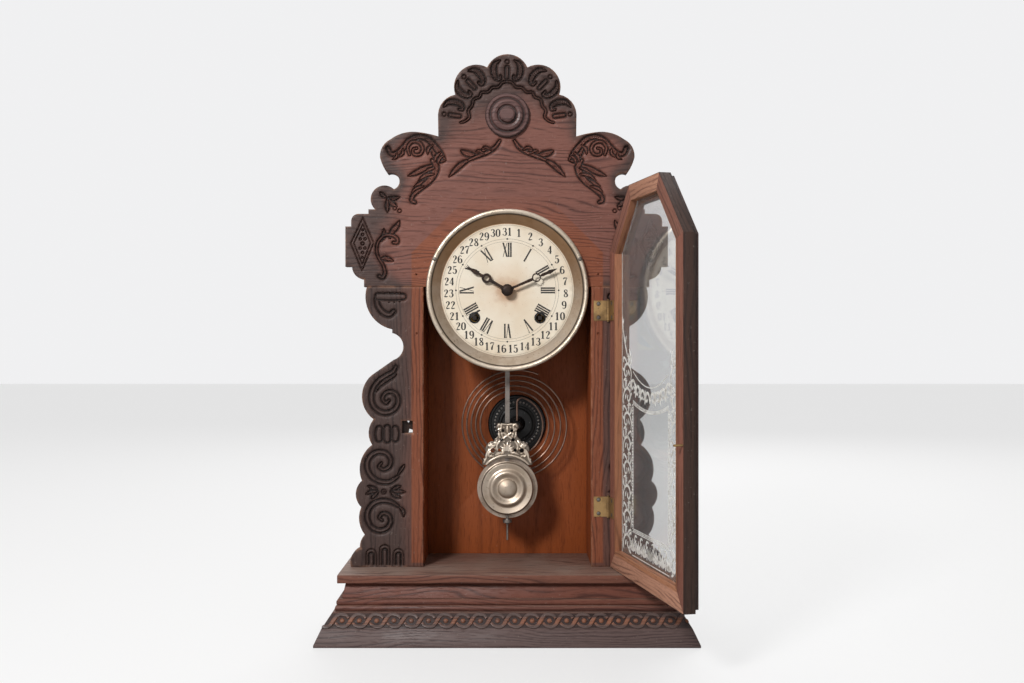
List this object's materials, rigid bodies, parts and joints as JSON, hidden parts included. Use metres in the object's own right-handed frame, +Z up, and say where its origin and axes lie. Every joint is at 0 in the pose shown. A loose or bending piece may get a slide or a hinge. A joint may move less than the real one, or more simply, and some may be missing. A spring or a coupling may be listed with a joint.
{
  "type": "table clock",
  "caption": "Table clock with a carved wooden case, a hinged glazed door standing open, a calendar dial, a pendulum and a coil gong.",
  "frame": {"origin": "middle of the base's underside", "axes": "+Z up, -Y towards the viewer, out of the clock's face, +X to the viewer's right"},
  "size_m": [0.3424, 0.2585, 0.5385],
  "materials": {
    "carved_oak": "aged dark varnish",
    "case_wood": "old red stain",
    "door_oak": "worn varnish",
    "door_glass": "clear with a stencilled border",
    "hinge_brass": "dull",
    "black_iron": "black japan",
    "dark_steel": "aged",
    "nickel": "old nickel plate",
    "dial_paper": "cream printed paper",
    "eyelet_iron": "dark",
    "blued_steel": "blackened",
    "movement_brass": "satin",
    "movement_steel": "satin"
  },
  "bodies": {
    "case": {"crest_board": "carved_oak", "crest_rosette": "carved_oak", "left_front_stile": "carved_oak", "right_front_stile": "carved_oak", "case_left_side": "case_wood", "case_right_side": "case_wood", "case_top": "case_wood", "back_board": "case_wood", "shelf_board": "carved_oak", "base_front_moulding": "carved_oak", "base_left_moulding": "carved_oak", "base_right_moulding": "carved_oak", "base_bottom": "case_wood", "latch_keeper": "black_iron", "hinge_case_leaves": "hinge_brass", "hinge_pins": "dark_steel", "case_screws": "dark_steel", "dial_pan": "nickel", "dial_paper": "dial_paper", "dial_eyelets": "eyelet_iron", "front_plate": "movement_brass", "back_plate": "movement_brass", "pillars": "movement_steel", "time_spring": "movement_steel", "strike_spring": "movement_steel", "gong_coil": "dark_steel", "gong_base": "black_iron", "suspension_spring": "dark_steel"},
    "door": {"door_hinge_stile": "door_oak", "door_free_stile": "door_oak", "door_bottom_rail": "door_oak", "door_top_rail": "door_oak", "door_shoulder_rails": "door_oak", "door_glass": "door_glass", "door_catch": "hinge_brass", "hinge_door_leaves": "hinge_brass", "door_screws": "dark_steel"},
    "pendulum": {"pendulum_rod": "dark_steel", "bob_back": "nickel", "bob_shell": "nickel", "bob_ornament": "nickel", "rating_nut": "movement_brass"},
    "verge": {"verge": "movement_steel"},
    "minute": {"cannon_pinion": "movement_brass", "minute_hand": "blued_steel", "hand_nut": "hinge_brass"},
    "motion": {"minute_wheel": "movement_brass"},
    "hour": {"hour_wheel": "movement_brass", "hour_hand": "blued_steel"},
    "escape": {"escape_wheel": "movement_brass"},
    "third": {"third_wheel": "movement_brass"},
    "centre": {"centre_wheel": "movement_brass"},
    "second": {"second_wheel": "movement_brass"},
    "time_great": {"time_great_wheel": "movement_brass"},
    "time_key": {"time_winding_arbor": "movement_steel"},
    "strike_great": {"strike_great_wheel": "movement_brass"},
    "strike_key": {"strike_winding_arbor": "movement_steel"},
    "pins": {"pin_wheel": "movement_brass"},
    "fly": {"fly": "movement_brass"},
    "hammer": {"hammer": "movement_steel"}
  },
  "joints": [
    {"name": "door_hinge", "type": "hinge", "parent": "case", "child": "door", "pos_m": [0.0939, -0.01015, 0.1908], "axis": [0, 0, 1], "range_deg": [-102.6, 0]},
    {"name": "pendulum_swing", "type": "hinge", "parent": "case", "child": "pendulum", "pos_m": [0, 0.00975, 0.3613], "axis": [0, 1, 0], "range_deg": [-4, 4]},
    {"name": "verge_rock", "type": "hinge", "parent": "case", "child": "verge", "pos_m": [0, 0.00975, 0.3613], "axis": [0, 1, 0], "range_deg": [-4, 4]},
    {"name": "minute_turn", "type": "hinge", "parent": "case", "child": "minute", "pos_m": [0, 0.01365, 0.3183], "axis": [0, 1, 0], "continuous": true},
    {"name": "motion_turn", "type": "hinge", "parent": "case", "child": "motion", "pos_m": [0.013, 0.01365, 0.3183], "axis": [0, 1, 0], "continuous": true},
    {"name": "hour_turn", "type": "hinge", "parent": "case", "child": "hour", "pos_m": [0, 0.01365, 0.3183], "axis": [0, 1, 0], "continuous": true},
    {"name": "escape_turn", "type": "hinge", "parent": "case", "child": "escape", "pos_m": [0, 0.01365, 0.3429], "axis": [0, 1, 0], "continuous": true},
    {"name": "third_turn", "type": "hinge", "parent": "case", "child": "third", "pos_m": [-0.01, 0.01365, 0.3321], "axis": [0, 1, 0], "continuous": true},
    {"name": "centre_turn", "type": "hinge", "parent": "case", "child": "centre", "pos_m": [0, 0.01365, 0.3183], "axis": [0, 1, 0], "continuous": true},
    {"name": "second_turn", "type": "hinge", "parent": "case", "child": "second", "pos_m": [0.0171, 0.01365, 0.31976], "axis": [0, 1, 0], "continuous": true},
    {"name": "time_great_turn", "type": "hinge", "parent": "case", "child": "time_great", "pos_m": [0.0306, 0.01365, 0.2927], "axis": [0, 1, 0], "continuous": true},
    {"name": "time_wind", "type": "hinge", "parent": "case", "child": "time_key", "pos_m": [0.0306, 0.01365, 0.2927], "axis": [0, 1, 0], "continuous": true},
    {"name": "fly_turn", "type": "hinge", "parent": "case", "child": "fly", "pos_m": [-0.036, 0.01365, 0.33884], "axis": [0, 1, 0], "continuous": true},
    {"name": "pin_wheel_turn", "type": "hinge", "parent": "case", "child": "pins", "pos_m": [-0.03, 0.01365, 0.32293], "axis": [0, 1, 0], "continuous": true},
    {"name": "strike_great_turn", "type": "hinge", "parent": "case", "child": "strike_great", "pos_m": [-0.0306, 0.01365, 0.2927], "axis": [0, 1, 0], "continuous": true},
    {"name": "strike_wind", "type": "hinge", "parent": "case", "child": "strike_key", "pos_m": [-0.0306, 0.01365, 0.2927], "axis": [0, 1, 0], "continuous": true},
    {"name": "hammer_swing", "type": "hinge", "parent": "case", "child": "hammer", "pos_m": [0.002, 0.01365, 0.2677], "axis": [0, 1, 0], "range_deg": [-14, 0], "stiffness_Nm_per_rad": 0.01}
  ],
  "couplings": [
    {"joint": "verge_rock", "follows": "pendulum_swing", "ratio": 1},
    {"joint": "motion_turn", "follows": "minute_turn", "ratio": -0.33333},
    {"joint": "hour_turn", "follows": "minute_turn", "ratio": 0.083333},
    {"joint": "third_turn", "follows": "escape_turn", "ratio": -0.10345},
    {"joint": "centre_turn", "follows": "escape_turn", "ratio": 0.011315},
    {"joint": "second_turn", "follows": "escape_turn", "ratio": -0.0025144},
    {"joint": "time_great_turn", "follows": "escape_turn", "ratio": 0.00041906},
    {"joint": "pin_wheel_turn", "follows": "fly_turn", "ratio": -0.13333},
    {"joint": "strike_great_turn", "follows": "fly_turn", "ratio": 0.022222}
  ]
}
